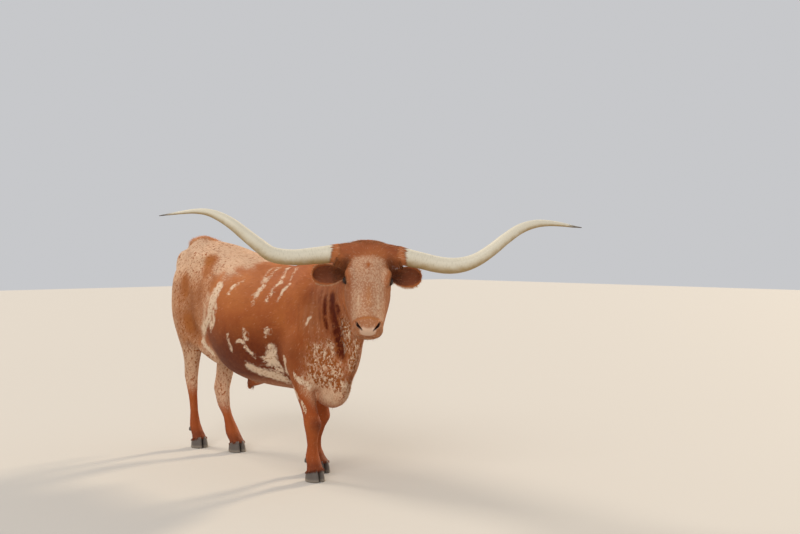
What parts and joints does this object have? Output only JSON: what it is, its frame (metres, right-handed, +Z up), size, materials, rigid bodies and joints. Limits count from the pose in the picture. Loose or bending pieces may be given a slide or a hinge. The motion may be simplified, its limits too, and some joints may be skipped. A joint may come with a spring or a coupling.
{
  "type": "texas longhorn",
  "caption": "Life-size standing steer with a roan coat and long horns that curve out and up, its head turned to its right.",
  "frame": {"origin": "centre of the bounding box's base, on the ground between the feet", "axes": "+Z up, -Y the way the body faces, +X the animal's left"},
  "size_m": [1.8876, 2.9774, 1.6163],
  "materials": {
    "coat": "short rusty red hair with white roan streaks and patches",
    "ear_skin": "thin haired skin, dark red-brown inside",
    "horn": "smooth ivory horn with a dull sheen and dark tips",
    "hoof": "dark grey hoof horn",
    "eye": "wet dark brown eye",
    "tail_hair": "long coarse hair in locks"
  },
  "bodies": {
    "root": {"claw_fore_left_left": "hoof", "claw_fore_left_right": "hoof", "claw_fore_right_left": "hoof", "claw_fore_right_right": "hoof", "claw_hind_left_left": "hoof", "claw_hind_left_right": "hoof", "claw_hind_right_left": "hoof", "claw_hind_right_right": "hoof", "dewclaw_fore_left_left": "hoof", "dewclaw_fore_left_right": "hoof", "dewclaw_fore_right_left": "hoof", "dewclaw_fore_right_right": "hoof", "dewclaw_hind_left_left": "hoof", "dewclaw_hind_left_right": "hoof", "dewclaw_hind_right_left": "hoof", "dewclaw_hind_right_right": "hoof", "ear_left": "ear_skin", "ear_right": "ear_skin", "eye_left": "eye", "eye_right": "eye", "head": "coat", "horn_left": "horn", "horn_right": "horn", "leg_fore_left": "coat", "leg_fore_right": "coat", "leg_hind_left": "coat", "leg_hind_right": "coat", "neck": "coat", "tail": "coat", "tail_switch": "tail_hair", "torso": "coat"}
  },
  "joints": []
}
